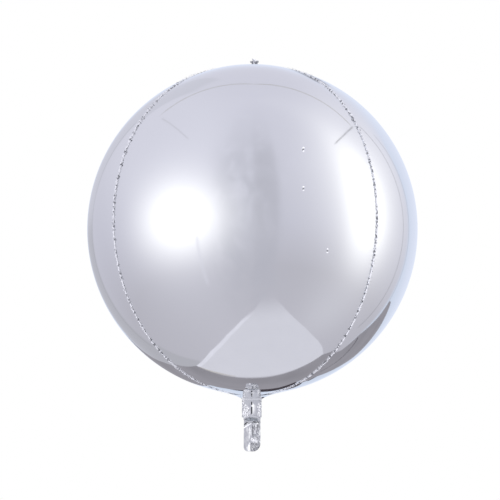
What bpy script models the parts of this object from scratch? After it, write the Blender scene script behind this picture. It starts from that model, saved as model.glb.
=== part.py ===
"""Sphere foil balloon: four metallised-film panels welded along four meridian seams,
a gathered tuft at the crown, and a flat filling tail below.

Metres, +Z up. The origin is the centre of the ball, and the front panel faces -Y.
"""

import math

import bmesh
import bpy
from mathutils import Vector

# Ball
BALL_RADIUS = 0.275
PANEL_WALL = 0.0018
PANEL_COUNT = 4
PANEL_ROWS = 36
PANEL_COLUMNS = 12
PANEL_ROW_CROWDING = 0.07
CROWN_DIP = 0.003
CROWN_DIP_SPREAD = math.radians(7)
CROWN_HOLE_RADIUS = 0.002
NECK_FLARE = 0.0045
NECK_FLARE_SPREAD = math.radians(6)
TOUCH_GAP = 0.0003

# Welded seams, which stand out of the ball as a thin crimped fin
SEAM_HEIGHT = 0.0035
SEAM_THICKNESS = 0.001
SEAM_ROOT_HEIGHT = 0.0005
SEAM_CRIMP = 0.0007
SEAM_CRIMP_BEAT = 1.7
SEAM_SECTIONS = 128

# Crown tuft, where the four seam ends are gathered
TUFT_HEIGHT = 0.025
TUFT_BASE_REACH = 0.007
TUFT_HEAD_REACH = 0.0064

# Neck and tail
HUB_RADIUS = 0.0172
HUB_PLEATS = 24
HUB_PLEAT_DEPTH = 0.0004
HUB_STEPS = 5
CREASE_DROP = 0.009
CREASE_RADIUS = 0.0014
MOUTH_DROP = 0.035
MOUTH_ARCH = 0.004
MOUTH_HEM = 0.004
MOUTH_HEM_THICKNESS = 0.0014
TAIL_DROP = 0.094
NECK_WIDTH = 0.0340
EDGE_WELD_WIDTH = 0.0025
EDGE_WELD_THICKNESS = 0.0014
TAIL_FILM = 0.0008
SLEEVE_FILM = 0.0005
SLEEVE_WIDTH = 0.020
SLEEVE_DROP = 0.0445
CHANNEL_BULGE = 0.0022
TAIL_WAVE = 0.0011
TAIL_WAVE_TURNS = 1.6
TAIL_WAVE_PER_METRE = 14
TAIL_CORNER_LEFT = 0.0070
TAIL_CORNER_RIGHT = 0.0125
TAIL_FRONT_TOP_DROP = 0.045
TAIL_FRONT_SLANT = 0.005
TAIL_RIDGE = 0.0016
TAIL_CRUMPLE = 0.0012

SEAM_SLOT = SEAM_THICKNESS / 2 + TOUCH_GAP
CREASE_Z = -BALL_RADIUS - CREASE_DROP
FILM_Y = SLEEVE_FILM / 2 + TOUCH_GAP + TAIL_FILM / 2
TAIL_WIDTH = NECK_WIDTH - 2 * (EDGE_WELD_WIDTH + TOUCH_GAP)
FILM_TOP_Z = CREASE_Z - CREASE_RADIUS - TOUCH_GAP


def clear_scene():
    for obj in list(bpy.data.objects):
        bpy.data.objects.remove(obj)


def make_material(name, color, roughness, metallic, alpha=1.0):
    material = bpy.data.materials.new(name)
    material.use_nodes = True
    shader = material.node_tree.nodes["Principled BSDF"]
    shader.inputs["Base Color"].default_value = (*color, 1.0)
    shader.inputs["Roughness"].default_value = roughness
    shader.inputs["Metallic"].default_value = metallic
    shader.inputs["Alpha"].default_value = alpha
    return material


def mix(a, b, t):
    return a + (b - a) * t


def share(v):
    """A grid coordinate from -1 to 1, as a share from 0 to 1."""
    return (v + 1) / 2


def object_from(bm, name, material, parent):
    mesh = bpy.data.meshes.new(name)
    bmesh.ops.recalc_face_normals(bm, faces=bm.faces)
    bm.to_mesh(mesh)
    bm.free()
    mesh.shade_smooth()
    mesh.set_sharp_from_angle(angle=math.radians(35))
    mesh.materials.append(material)
    return add_object(name, mesh, parent)


def add_object(name, mesh, parent):
    obj = bpy.data.objects.new(name, mesh)
    bpy.context.scene.collection.objects.link(obj)
    obj.parent = parent
    return obj


def sheet_mesh(name, columns, rows, place, material):
    """A grid of film, each corner of it moved to place(u, v) with u and v from -1 to 1."""
    bm = bmesh.new()
    bmesh.ops.create_grid(bm, x_segments=columns, y_segments=rows, size=1.0)
    for vert in bm.verts:
        vert.co = Vector(place(vert.co.x, vert.co.y))
    mesh = bpy.data.meshes.new(name)
    bm.to_mesh(mesh)
    bm.free()
    mesh.shade_smooth()
    mesh.materials.append(material)
    return mesh


def thicken(obj, thickness, offset):
    """Gives a film its wall: offset -1 puts it inside the sheet, and 0 half on each side."""
    solidify = obj.modifiers.new("Wall", "SOLIDIFY")
    solidify.thickness = thickness
    solidify.offset = offset
    return obj


def loft(name, rings, material, parent):
    """A closed body through rings that hold the same number of points, capped at both ends."""
    bm = bmesh.new()
    loops = []
    for ring in rings:
        verts = [bm.verts.new(point) for point in ring]
        loops.append([bm.edges.new((a, b)) for a, b in zip(verts, verts[1:] + verts[:1])])
    for lower, upper in zip(loops, loops[1:]):
        bmesh.ops.bridge_loops(bm, edges=lower + upper)
    bmesh.ops.holes_fill(bm, edges=loops[0] + loops[-1], sides=0)
    return object_from(bm, name, material, parent)


def ball_radius_at(latitude):
    """The ball's radius, which dips at the crown and is drawn out towards the neck."""
    from_crown = (math.pi / 2 - latitude) / CROWN_DIP_SPREAD
    from_neck = (math.pi / 2 + latitude) / NECK_FLARE_SPREAD
    return BALL_RADIUS - CROWN_DIP * math.exp(-from_crown**2) + NECK_FLARE * math.exp(-from_neck**2)


def panel_point(u, v):
    """A point of the front panel. Its side edges run beside the seams, a slot's width away.

    The rows lie closer together towards the crown and the neck, where the shape changes most.
    """
    top = math.acos(CROWN_HOLE_RADIUS / BALL_RADIUS)
    bottom = -math.acos((HUB_RADIUS + HUB_PLEAT_DEPTH + TOUCH_GAP) / BALL_RADIUS)
    crowded = share(v) - PANEL_ROW_CROWDING * math.sin(math.tau * share(v))
    latitude = mix(bottom, top, crowded)
    radius = ball_radius_at(latitude)
    ring = radius * math.cos(latitude)
    half_angle = math.pi / PANEL_COUNT - math.asin(SEAM_SLOT / ring)
    angle = u * half_angle
    return ring * math.sin(angle), -ring * math.cos(angle), radius * math.sin(latitude)


def build_panels(foil, parent):
    mesh = sheet_mesh("panel", PANEL_COLUMNS, PANEL_ROWS, panel_point, foil)
    for number, side in enumerate(("front", "right", "back", "left")):
        panel = add_object("panel_" + side, mesh, parent)
        panel.rotation_euler.z = number * math.tau / PANEL_COUNT
        thicken(panel, PANEL_WALL, -1)


def seam_point(u, v):
    """A point of a seam fin that lies along +X: straight between the panels, crimped outside them."""
    top = math.acos((TUFT_BASE_REACH + TOUCH_GAP) / BALL_RADIUS)
    bottom = -math.acos((HUB_RADIUS + HUB_PLEAT_DEPTH + 2 * TOUCH_GAP) / BALL_RADIUS)
    latitude = mix(bottom, top, share(v))
    section = round(share(v) * SEAM_SECTIONS)
    crimp = 0.0
    reach = -PANEL_WALL
    if u > 0.5:
        reach = SEAM_HEIGHT
        crimp = SEAM_CRIMP * (-1) ** section * (0.7 + 0.3 * math.sin(SEAM_CRIMP_BEAT * section))
    elif u > -0.5:
        reach = SEAM_ROOT_HEIGHT
    radius = ball_radius_at(latitude) + reach
    return radius * math.cos(latitude), crimp, radius * math.sin(latitude)


def build_seams(foil, parent):
    mesh = sheet_mesh("seam", 2, SEAM_SECTIONS, seam_point, foil)
    names = ("front_right", "back_right", "back_left", "front_left")
    for number, corner in enumerate(names):
        seam = add_object("seam_" + corner, mesh, parent)
        seam.rotation_euler.z = (number - 0.5) * math.tau / PANEL_COUNT
        thicken(seam, SEAM_THICKNESS, 0)


def cross_ring(z, reach, thickness, turn):
    """The outline of four crossed vanes at one height, turned about the ball's axis."""
    half = thickness / 2
    points = []
    for arm in range(PANEL_COUNT):
        angle = turn + (arm + 0.5) * math.tau / PANEL_COUNT
        along = Vector((math.cos(angle), math.sin(angle), 0))
        across = Vector((-along.y, along.x, 0))
        points.append(along * reach - across * half)
        points.append(along * reach + across * half)
        points.append(along * half + across * half)
    return [point + Vector((0, 0, z)) for point in points]


def build_crown_tuft(foil, parent):
    """The four seam ends, pinched to a waist above the ball and crumpled open at the tip."""
    top = BALL_RADIUS - CROWN_DIP
    waist = 0.5 * TUFT_BASE_REACH
    rings = [
        cross_ring(top - PANEL_WALL, TUFT_BASE_REACH, SEAM_THICKNESS, 0),
        cross_ring(top + 2 * TOUCH_GAP, TUFT_BASE_REACH, SEAM_THICKNESS, 0),
        cross_ring(mix(top, top + TUFT_HEIGHT, 0.35), waist, 1.3 * SEAM_THICKNESS, 0.1),
        cross_ring(mix(top, top + TUFT_HEIGHT, 0.60), waist, 1.4 * SEAM_THICKNESS, 0.35),
        cross_ring(mix(top, top + TUFT_HEIGHT, 0.80), TUFT_HEAD_REACH, 1.3 * SEAM_THICKNESS, 0.6),
        cross_ring(top + TUFT_HEIGHT, TUFT_HEAD_REACH, SEAM_THICKNESS, 0.75),
    ]
    loft("crown_tuft", rings, foil, parent)


def hub_ring(z, half_width, half_depth, pleat):
    """An oval ring whose edge goes in and out with the gathered pleats."""
    points = []
    for number in range(2 * HUB_PLEATS):
        angle = number * math.tau / (2 * HUB_PLEATS)
        fold = 1 + pleat * (-1) ** number / half_width
        x = half_width * fold * math.cos(angle)
        y = half_depth * fold * math.sin(angle)
        points.append(Vector((x, y, z)))
    return points


def build_neck_hub(foil, parent):
    """The gathered funnel between the ball and the crease that the tail folds at."""
    edge = -math.acos(HUB_RADIUS / BALL_RADIUS)
    collar = ball_radius_at(edge) * math.sin(edge)
    hem = CREASE_Z + CREASE_RADIUS + TOUCH_GAP
    half_neck = NECK_WIDTH / 2 - HUB_PLEAT_DEPTH
    rings = [hub_ring(collar + PANEL_WALL, HUB_RADIUS, HUB_RADIUS, HUB_PLEAT_DEPTH)]
    for step in range(HUB_STEPS):
        t = step / (HUB_STEPS - 1)
        half_depth = mix(CREASE_RADIUS, HUB_RADIUS, (1 - t) ** 2)
        rings.append(hub_ring(mix(collar, hem, t), mix(HUB_RADIUS, half_neck, t), half_depth, HUB_PLEAT_DEPTH))
    loft("neck_hub", rings, foil, parent)


def build_crease_weld(foil, parent):
    """The rolled weld across the top of the tail, round on the line that the tail folds about."""
    bm = bmesh.new()
    bmesh.ops.create_cone(
        bm, cap_ends=True, segments=16, radius1=CREASE_RADIUS, radius2=CREASE_RADIUS, depth=NECK_WIDTH
    )
    for vert in bm.verts:
        vert.co = Vector((vert.co.z, vert.co.x, vert.co.y))
    object_from(bm, "crease_weld", foil, parent)


def tail_sway(x, drop):
    """How far the crumpled film below the valve stands off its flat plane."""
    start = max(0.0, drop - SLEEVE_DROP) / (TAIL_DROP - SLEEVE_DROP)
    fade = min(1.0, 3 * start)
    return TAIL_WAVE * fade * math.sin(math.tau * (TAIL_WAVE_TURNS * start + TAIL_WAVE_PER_METRE * x))


def tail_place(x, y, z):
    """A point of the tail, measured from the crease that it folds at."""
    return x, y, z - CREASE_Z


def mouth_edge_z(u):
    """The arched lower edge of the neck's front film."""
    return -BALL_RADIUS - MOUTH_DROP - MOUTH_ARCH * u * u


def neck_front_point(u, v):
    """The neck's front film: a puffed channel on each side of a sharp middle crease."""
    z = mix(mouth_edge_z(u), FILM_TOP_Z, share(v))
    puff = math.sin(math.pi * abs(u)) * math.sin(math.pi * share(v))
    return tail_place(u * TAIL_WIDTH / 2, -FILM_Y - CHANNEL_BULGE * puff, z)


def mouth_hem_point(u, v):
    """The arched weld under the neck's front film."""
    z = mouth_edge_z(u) - TOUCH_GAP - MOUTH_HEM * (1 - share(v))
    return tail_place(u * TAIL_WIDTH / 2, -FILM_Y - (MOUTH_HEM_THICKNESS - TAIL_FILM) / 2, z)


def tail_edge(drop, corner):
    """How far a side edge of the tail lies from its middle at this drop, round its lower corner."""
    into = max(0.0, drop - (TAIL_DROP - corner))
    return TAIL_WIDTH / 2 - corner + math.sqrt(max(0.0, corner**2 - into**2))


def tail_x(u, drop):
    return mix(-tail_edge(drop, TAIL_CORNER_LEFT), tail_edge(drop, TAIL_CORNER_RIGHT), share(u))


def tail_back_point(u, v):
    """The back film, which runs from the crease to the tail's rounded end."""
    drop = mix(TAIL_DROP, -FILM_TOP_Z - BALL_RADIUS, share(v))
    x = tail_x(u, drop)
    return tail_place(x, FILM_Y + tail_sway(x, drop), -BALL_RADIUS - drop)


def tail_front_point(u, v):
    """The front film below the mouth: smooth on the left, a ridge near the middle, crumpled on the right."""
    drop = mix(TAIL_DROP, TAIL_FRONT_TOP_DROP + TAIL_FRONT_SLANT * (1 - share(u)), share(v))
    x = tail_x(u, drop)
    edge = math.sin(math.pi * share(v))
    ridge = TAIL_RIDGE * math.exp(-((u / 0.25) ** 2)) * edge
    crumple = TAIL_CRUMPLE * max(0.0, u) * edge * (1 + math.sin(9 * v + 5 * u))
    return tail_place(x, -FILM_Y + tail_sway(x, drop) - ridge - crumple, -BALL_RADIUS - drop)


def sleeve_point(u, v):
    """The clear valve sleeve between the two films, which shows below the mouth."""
    return tail_place(u * SLEEVE_WIDTH / 2, 0.0, mix(-BALL_RADIUS - SLEEVE_DROP, FILM_TOP_Z, share(v)))


def build_tail_films(foil, clear_film, parent):
    films = (
        ("neck_front_film", 12, 8, neck_front_point, TAIL_FILM, foil),
        ("mouth_hem", 12, 1, mouth_hem_point, MOUTH_HEM_THICKNESS, foil),
        ("tail_front_film", 10, 12, tail_front_point, TAIL_FILM, foil),
        ("tail_back_film", 10, 22, tail_back_point, TAIL_FILM, foil),
        ("valve_sleeve", 2, 2, sleeve_point, SLEEVE_FILM, clear_film),
    )
    for name, columns, rows, place, thickness, material in films:
        mesh = sheet_mesh(name, columns, rows, place, material)
        thicken(add_object(name, mesh, parent), thickness, 0)


def build_edge_welds(foil, parent):
    """The welded side edges that join the neck's two films."""
    height = FILM_TOP_Z - (-BALL_RADIUS - MOUTH_DROP - MOUTH_ARCH)
    for side, name in ((-1, "edge_weld_left"), (1, "edge_weld_right")):
        bm = bmesh.new()
        bmesh.ops.create_cube(bm, size=1.0)
        for vert in bm.verts:
            vert.co.x *= EDGE_WELD_WIDTH
            vert.co.y *= EDGE_WELD_THICKNESS
            vert.co.z *= height
        weld = object_from(bm, name, foil, parent)
        weld.location.x = side * (NECK_WIDTH - EDGE_WELD_WIDTH) / 2
        weld.location.z = FILM_TOP_Z - CREASE_Z - height / 2


def build_balloon():
    clear_scene()
    foil = make_material("silver_foil", (0.80, 0.80, 0.83), 0.08, 1.0)
    clear_film = make_material("clear_valve_film", (0.86, 0.88, 0.90), 0.30, 0.0, 0.6)

    ball = bpy.data.objects.new("ball", None)
    bpy.context.scene.collection.objects.link(ball)
    build_panels(foil, ball)
    build_seams(foil, ball)
    build_crown_tuft(foil, ball)
    build_neck_hub(foil, ball)

    tail_fold = bpy.data.objects.new("tail_fold", None)
    bpy.context.scene.collection.objects.link(tail_fold)
    tail_fold.parent = ball
    tail_fold.location.z = CREASE_Z
    build_crease_weld(foil, tail_fold)
    build_tail_films(foil, clear_film, tail_fold)
    build_edge_welds(foil, tail_fold)


build_balloon()
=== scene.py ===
import random
from math import acos, cos, exp, floor, hypot, pi, radians, sin, sqrt, tan, tau

import bmesh
import bpy
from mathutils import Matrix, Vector, noise


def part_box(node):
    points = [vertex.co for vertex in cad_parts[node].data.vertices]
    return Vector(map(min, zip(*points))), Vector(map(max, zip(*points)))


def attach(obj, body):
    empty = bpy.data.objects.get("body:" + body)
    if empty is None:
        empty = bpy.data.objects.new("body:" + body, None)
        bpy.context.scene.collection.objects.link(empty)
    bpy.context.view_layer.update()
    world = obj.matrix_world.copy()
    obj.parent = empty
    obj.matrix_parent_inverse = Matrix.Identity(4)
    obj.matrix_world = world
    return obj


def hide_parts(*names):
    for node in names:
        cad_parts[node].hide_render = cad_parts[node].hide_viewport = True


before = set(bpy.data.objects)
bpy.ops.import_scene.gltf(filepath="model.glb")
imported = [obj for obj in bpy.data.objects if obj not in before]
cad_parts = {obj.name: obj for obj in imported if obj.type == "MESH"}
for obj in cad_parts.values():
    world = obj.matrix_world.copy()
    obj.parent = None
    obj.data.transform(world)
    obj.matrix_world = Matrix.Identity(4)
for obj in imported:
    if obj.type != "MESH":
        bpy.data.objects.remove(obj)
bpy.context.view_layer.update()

ballRadius = -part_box("panel_front")[0].y
hingeZ = (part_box("crease_weld")[0].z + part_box("crease_weld")[1].z) / 2
sideNames = ("front", "right", "back", "left")
seamNames = ("front_right", "back_right", "back_left", "front_left")
quarterTurn = pi / 2


def srgb(hexText, glow=1.0):
    # a colour as seen on screen, turned to the linear light that nodes expect
    shown = [int(hexText[i:i + 2], 16) / 255 for i in (1, 3, 5)]
    return (*[glow * (c / 12.92 if c < 0.0405 else ((c + 0.055) / 1.055) ** 2.4) for c in shown], 1.0)


def toward(azimuth, elevation):
    # a direction from the front, turned to the right and upwards, in degrees
    az, el = radians(azimuth), radians(elevation)
    return Vector((sin(az) * cos(el), -cos(az) * cos(el), sin(el)))


def smooth(low, high, value):
    t = min(1.0, max(0.0, (value - low) / (high - low)))
    return t * t * (3 - 2 * t)


def mix(a, b, t):
    return a + (b - a) * t


def band(low, high, soft, value):
    return smooth(low - soft, low + soft, value) * smooth(high + soft, high - soft, value)


def gauss(value, centre, width):
    return exp(-(((value - centre) / width) ** 2))


def plugIn(tree, node, inputs):
    # a linked value is a node (its first output is used) or one of its sockets
    for key, value in inputs.items():
        if isinstance(value, bpy.types.Node):
            value = value.outputs[0]
        if isinstance(value, bpy.types.NodeSocket):
            tree.links.new(value, node.inputs[key])
        else:
            node.inputs[key].default_value = value


def addNode(tree, kind, inputs=None, **settings):
    node = tree.nodes.new(kind)
    for name, value in settings.items():
        setattr(node, name, value)
    plugIn(tree, node, inputs or {})
    return node


def doMath(tree, operation, *values):
    return addNode(tree, "ShaderNodeMath", dict(enumerate(values)), operation=operation)


def vectorMath(tree, operation, *values):
    return addNode(tree, "ShaderNodeVectorMath", dict(enumerate(values)), operation=operation)


def mapRange(tree, value, low=0.0, high=1.0, toLow=0.0, toHigh=1.0):
    return addNode(tree, "ShaderNodeMapRange", {0: value, 1: low, 2: high, 3: toLow, 4: toHigh})


def product(tree, total, *factors):
    for factor in factors:
        total = doMath(tree, "MULTIPLY", total, factor)
    return total


def combine(tree, x=0.0, y=0.0, z=0.0):
    return addNode(tree, "ShaderNodeCombineXYZ", {0: x, 1: y, 2: z})


def split(tree, vector):
    return addNode(tree, "ShaderNodeSeparateXYZ", {0: vector}).outputs


def noiseField(tree, place, scale, detail):
    return addNode(tree, "ShaderNodeTexNoise", {"Vector": place, "Scale": scale, "Detail": detail})


def noiseAlong(tree, along, scale, detail):
    return addNode(tree, "ShaderNodeTexNoise", {"W": along, "Scale": scale, "Detail": detail},
                   noise_dimensions="1D")


def stretch(tree, vector, factor):
    return addNode(tree, "ShaderNodeVectorMath", {0: vector, "Scale": factor}, operation="SCALE")


def randomValue(tree, low, high, seed):
    return addNode(tree, "FunctionNodeRandomValue", {2: low, 3: high, "Seed": seed},
                   data_type="FLOAT").outputs[1]


def bell(tree, field, centre, width):
    # 1 at the centre, falling smoothly to 0 a few widths away
    offset = doMath(tree, "SUBTRACT", field, centre)
    scaled = doMath(tree, "DIVIDE", offset, width)
    return doMath(tree, "EXPONENT", product(tree, scaled, scaled, -1.0))


def addObject(name, data):
    thing = bpy.data.objects.new(name, data)
    bpy.context.scene.collection.objects.link(thing)
    return thing


def dress(piece, body, node):
    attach(piece, body)
    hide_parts(node)


# Materials

foilLook = {
    "film": "#E9EAEC",  # aluminium under clear polyester, slightly cool
    "filmDullness": (0.045, 0.075),
    "coat": 0.25,
    "coatDullness": 0.03,
    "scuff": 0.012,
    "ripple": 0.045,  # metres between the film's faint waves
    "rippleDepth": 0.00003,
    "weld": "#FDFDFF",
    "weldDull": "#EFEFF4",
    "weldMetal": 0.12,  # crushed metal scatters light, as white paint does
    "weldDullness": 0.18,
    "weldPaintedGlow": 0.08,  # painted glow: emission that brightens the weld
    "shadeDotPitch": 0.0030,  # metres between the painted shade dots, small dark spots in a crimped weld
    "shadeDotTone": "#6C6D73",
    "hatch": 0.0008,  # heat-seal bar pattern, drawn at the real 0.8 mm
    "hatchDepth": 0.00001,
    "foldShadeTone": "#44454B",  # painted shade: light is lost in narrow folds
    "slackDullness": 0.09,
    "creaseDepth": 0.00004,
    # painted highlight: where it is painted, the film is less metallic, white and glowing
    "highlightMetal": 0.2,
    "highlightGlow": 0.30,  # painted glow, as on the weld, where the slack film has a painted white highlight
    "valve": "#D9DEE3",
    "valveDullness": (0.15, 0.4),
    "valveClear": 0.7,
    "wrinkleDepth": 0.0001,
}


def startMaterial(name):
    material = bpy.data.materials.new(name)
    material.use_nodes = True
    tree = material.node_tree
    place = addNode(tree, "ShaderNodeTexCoord").outputs["Object"]
    return material, tree, tree.nodes["Principled BSDF"], place


def blendColor(tree, factor, low, high):
    return addNode(tree, "ShaderNodeMix", {0: factor, 6: low, 7: high}, data_type="RGBA").outputs[2]


def relief(tree, height, depth):
    return addNode(tree, "ShaderNodeBump", {"Height": height, "Distance": depth})


def metallisedPolyester():
    # vacuum-metallised polyester film, blown tight: an almost perfect mirror with a clear outer skin
    material, tree, shader, place = startMaterial("vacuumMetallisedPolyester")
    scuffs = noiseField(tree, place, 1 / foilLook["scuff"], 3.0)
    waves = noiseField(tree, place, 1 / foilLook["ripple"], 1.0)
    plugIn(tree, shader, {
        "Base Color": srgb(foilLook["film"]),
        "Metallic": 1.0,
        "Roughness": mapRange(tree, scuffs, 0.35, 0.75, *foilLook["filmDullness"]),
        "Coat Weight": foilLook["coat"],
        "Coat Roughness": foilLook["coatDullness"],
        "Normal": relief(tree, waves, foilLook["rippleDepth"]),
    })
    return material


def heatSealedWeld():
    # two films melted together under a ribbed bar: a whiter, duller line with a painted glow, broken by
    # painted shade in small dark dots
    material, tree, shader, place = startMaterial("heatSealedPolyesterWeld")
    mottle = noiseField(tree, place, 420.0, 2.0)
    color = blendColor(tree, mottle, srgb(foilLook["weld"]), srgb(foilLook["weldDull"]))
    # painted shade: small dark dots along the weld
    shadeDots = mapRange(tree, noiseField(tree, place, 1 / foilLook["shadeDotPitch"], 0.0), 0.57, 0.62)
    color = blendColor(tree, shadeDots, color, srgb(foilLook["shadeDotTone"]))
    hatch = addNode(tree, "ShaderNodeTexWave", {"Vector": place, "Scale": 0.31 / foilLook["hatch"]},
                    bands_direction="DIAGONAL")
    plugIn(tree, shader, {
        "Base Color": color,
        "Metallic": foilLook["weldMetal"],
        "Roughness": foilLook["weldDullness"],
        # painted glow: the weld gives off light of its own colour
        "Emission Color": color,
        "Emission Strength": foilLook["weldPaintedGlow"],
        "Normal": relief(tree, hatch, foilLook["hatchDepth"]),
    })
    return material


def slackTailFoil():
    # the same film with no air behind it: soft creases everywhere, with painted shade where folds close up
    # (values above 0) and a painted white highlight with a painted glow (values below 0)
    material, tree, shader, place = startMaterial("slackMetallisedPolyester")
    shade = addNode(tree, "ShaderNodeAttribute", attribute_name="paintedShadeAndHighlight").outputs["Fac"]
    color = blendColor(tree, shade, srgb(foilLook["film"]), srgb(foilLook["foldShadeTone"]))
    paintedHighlight = mapRange(tree, shade, 0.0, -1.0)
    creases = addNode(tree, "ShaderNodeTexVoronoi", {"Vector": place, "Scale": 300.0}, feature="F1")
    plugIn(tree, shader, {
        "Base Color": blendColor(tree, paintedHighlight, color, srgb(foilLook["weld"])),
        "Metallic": mapRange(tree, paintedHighlight, 0.0, 1.0, 1.0, foilLook["highlightMetal"]),
        "Roughness": foilLook["slackDullness"],
        "Emission Color": srgb(foilLook["weld"]),
        "Emission Strength": doMath(tree, "MULTIPLY", paintedHighlight, foilLook["highlightGlow"]),
        "Normal": relief(tree, creases.outputs["Distance"], foilLook["creaseDepth"]),
    })
    return material


def polyethyleneValveFilm():
    # clear polyethylene film, milky where it is welded and wrinkled
    material, tree, shader, place = startMaterial("polyethyleneValveFilm")
    wrinkles = noiseField(tree, place, 300.0, 2.0)
    plugIn(tree, shader, {
        "Base Color": srgb(foilLook["valve"]),
        "IOR": 1.51,
        "Transmission Weight": foilLook["valveClear"],
        "Roughness": mapRange(tree, wrinkles, 0.0, 1.0, *foilLook["valveDullness"]),
        "Normal": relief(tree, wrinkles, foilLook["wrinkleDepth"]),
    })
    return material


mirrorFilm = metallisedPolyester()
weldFilm = heatSealedWeld()
tailFilm = slackTailFoil()
valveFilm = polyethyleneValveFilm()
print("materials made")


# Geometry Nodes: trees with named inputs, run once and kept as plain meshes

def startTree(name, sizes):
    tree = bpy.data.node_groups.new(name, "GeometryNodeTree")
    for label, value in sizes.items():
        kind = "NodeSocketInt" if isinstance(value, int) else "NodeSocketFloat"
        if isinstance(value, bpy.types.Material):
            kind = "NodeSocketMaterial"
        tree.interface.new_socket(label, in_out="INPUT", socket_type=kind)
    tree.interface.new_socket("Geometry", in_out="OUTPUT", socket_type="NodeSocketGeometry")
    return tree, tree.nodes.new("NodeGroupInput").outputs


def join(tree, *parts):
    joined = tree.nodes.new("GeometryNodeJoinGeometry")
    for part in parts:
        tree.links.new(part.outputs[0], joined.inputs[0])
    return joined


def finishTree(tree, geometry, material):
    real = addNode(tree, "GeometryNodeRealizeInstances", {0: geometry})
    coated = addNode(tree, "GeometryNodeSetMaterial", {"Geometry": real, "Material": material})
    addNode(tree, "NodeGroupOutput", {0: coated})


def runTree(tree, name, sizes, body, node):
    holder = addObject(name, bpy.data.meshes.new(name))
    modifier = holder.modifiers.new("Build", "NODES")
    modifier.node_group = tree
    for item in tree.interface.items_tree:
        if item.in_out == "INPUT":
            modifier[item.identifier] = sizes[item.name]
    evaluated = holder.evaluated_get(bpy.context.evaluated_depsgraph_get())
    mesh = bpy.data.meshes.new_from_object(evaluated)
    holder.modifiers.clear()
    holder.data = mesh
    mesh.name = name
    dress(holder, body, node)


ballShape = {
    "Radius": ballRadius,
    "Crown Dip": 0.003,
    "Crown Spread": radians(7),
    "Neck Cone": radians(14),  # from here down the film runs straight to the neck
}


def filmRadius(latitude):
    # the same rule as in ballField, for pieces made in mesh code
    crown = gauss(latitude, quarterTurn, ballShape["Crown Spread"])
    below = max(0.0, ballShape["Neck Cone"] - quarterTurn - latitude)
    return ballShape["Radius"] / cos(below) - ballShape["Crown Dip"] * crown


def ballField(tree, sizes, latitude):
    # the film's distance from the centre: dipped at the crown, a shallow cone at the neck
    crown = bell(tree, latitude, quarterTurn, sizes["Crown Spread"])
    fromPole = doMath(tree, "ADD", latitude, quarterTurn)
    below = doMath(tree, "SUBTRACT", sizes["Neck Cone"], fromPole)
    cosine = doMath(tree, "COSINE", doMath(tree, "MAXIMUM", below, 0.0))
    drawn = doMath(tree, "DIVIDE", sizes["Radius"], cosine)
    return doMath(tree, "SUBTRACT", drawn, product(tree, crown, sizes["Crown Dip"]))


def puckerField(tree, sizes, along, seam):
    # gathers along a seam: uneven in pitch and depth, and the same on both films that meet there
    shifted = doMath(tree, "MULTIPLY_ADD", seam, 3.7, along)
    drift = noiseAlong(tree, shifted, 28.0, 2.0)
    turns = doMath(tree, "DIVIDE", along, sizes["Pucker Pitch"])
    phase = doMath(tree, "MULTIPLY_ADD", drift, 3.0, turns)
    wave = doMath(tree, "SINE", product(tree, phase, tau))
    depth = noiseAlong(tree, shifted, 75.0, 1.0)
    return product(tree, wave, mapRange(tree, depth, 0.3, 0.7, 0.25, 1.0))


goreShape = {
    "Rows": 801,
    "Columns": 45,
    "Lining Columns": 9,
    "Wall": 0.0012,
    "Pillow": 0.0012,  # the film sits lower at the seams
    "Pucker Pitch": 0.0078,
    "Pucker Height": 0.0002,
    "Pucker Reach": 0.0030,
    "Crowding": 0.75,
    "Side": 0,
    "Film": mirrorFilm,
}


def goreSkin(tree, sizes, columns, wall):
    # one skin of a gore: a grid laid over a quarter of the ball, its columns crowded towards the seams
    grid = addNode(tree, "GeometryNodeMeshGrid", {"Vertices X": columns, "Vertices Y": sizes["Rows"]})
    spot = split(tree, grid.outputs["UV Map"])
    latitude = mapRange(tree, spot["Y"], 0.0, 1.0, -quarterTurn, quarterTurn)
    crowded = product(tree, doMath(tree, "COSINE", product(tree, spot["X"], pi)), -1.0)
    even = mapRange(tree, spot["X"], 0.0, 1.0, -1.0, 1.0)
    across = addNode(tree, "ShaderNodeMix", {0: sizes["Crowding"], 2: even, 3: crowded}, data_type="FLOAT")
    angle = product(tree, across, pi / 4)
    radius = ballField(tree, sizes, latitude)
    level = doMath(tree, "COSINE", latitude)
    ring = product(tree, radius, level)

    # gathers fade within a few millimetres of the seam and at both poles
    outward = doMath(tree, "ABSOLUTE", across)
    inset = doMath(tree, "SUBTRACT", 1.0, outward)
    distance = product(tree, inset, pi / 4, ring)
    nearSeam = bell(tree, distance, 0.0, sizes["Pucker Reach"])
    awayFromPole = mapRange(tree, ring, 0.006, 0.03)
    seam = doMath(tree, "MULTIPLY_ADD", doMath(tree, "SIGN", across), 0.5, sizes["Side"])
    seamNumber = doMath(tree, "FLOORED_MODULO", seam, 4.0)
    pucker = puckerField(tree, sizes, product(tree, latitude, radius), seamNumber)
    gathers = product(tree, pucker, sizes["Pucker Height"], nearSeam, awayFromPole)

    # the panel bows out between its seams, and the lining closes onto the outer skin at them
    fourth = doMath(tree, "POWER", outward, 4.0)
    sunk = product(tree, fourth, sizes["Pillow"], awayFromPole)
    lens = doMath(tree, "SUBTRACT", 1.0, product(tree, fourth, fourth))
    lifted = doMath(tree, "ADD", radius, gathers)
    settled = doMath(tree, "SUBTRACT", lifted, sunk)
    skin = doMath(tree, "SUBTRACT", settled, product(tree, lens, wall))

    skinRing = product(tree, skin, level)
    x = product(tree, skinRing, doMath(tree, "SINE", angle))
    y = product(tree, skinRing, doMath(tree, "COSINE", angle), -1.0)
    z = product(tree, skin, doMath(tree, "SINE", latitude))
    return addNode(tree, "GeometryNodeSetPosition", {"Geometry": grid, "Position": combine(tree, x, y, z)})


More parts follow.
